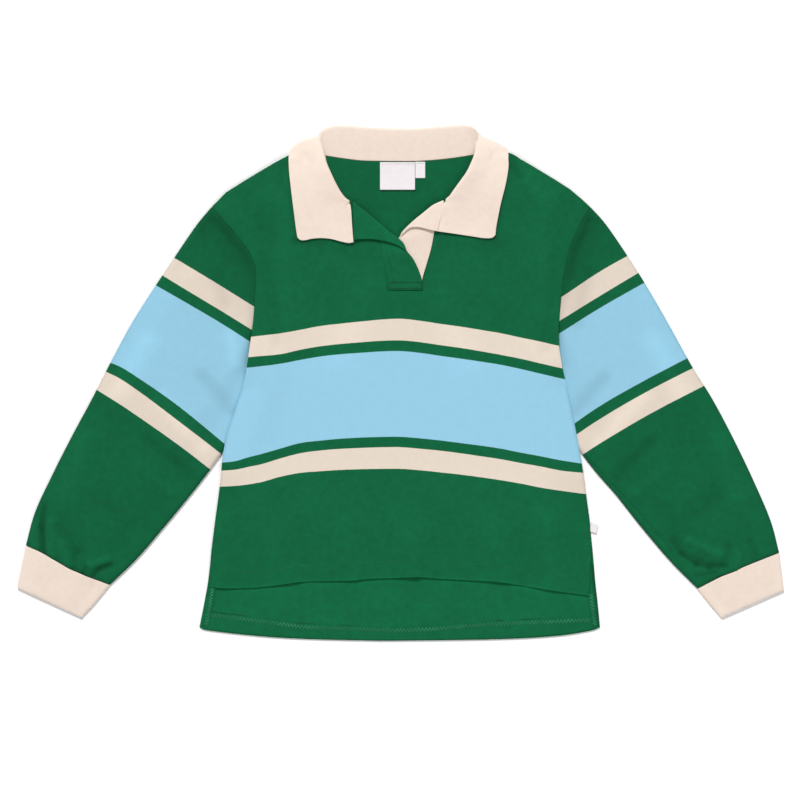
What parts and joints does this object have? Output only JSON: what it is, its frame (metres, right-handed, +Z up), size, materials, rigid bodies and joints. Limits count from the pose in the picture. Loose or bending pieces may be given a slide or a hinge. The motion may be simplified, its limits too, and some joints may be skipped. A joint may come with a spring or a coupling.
{
  "type": "polo shirt",
  "caption": "Child's long-sleeved polo shirt laid flat, front up, with a turned-down collar, an open placket, cuffs, a side-slit hem and wide bands across body and sleeves.",
  "frame": {"origin": "middle of the laid shirt's footprint, on the surface it lies on", "axes": "+X across the shirt to the viewer's right, +Y from hem to collar, +Z up through the front panel"},
  "size_m": [0.7984, 0.5345, 0.0106],
  "materials": {
    "green_jersey": "matte cotton jersey",
    "cream_twill": "matte cotton twill",
    "white_satin": "woven satin label"
  },
  "bodies": {
    "root": {"front_panel": "green_jersey", "back_panel": "green_jersey", "sleeve_viewer_left": "green_jersey", "sleeve_viewer_right": "green_jersey", "placket_over": "green_jersey", "cuff_viewer_left": "cream_twill", "cuff_viewer_right": "cream_twill", "collar": "cream_twill", "placket_under": "cream_twill", "neck_label": "white_satin", "size_label": "white_satin", "side_tab": "white_satin"}
  },
  "joints": []
}
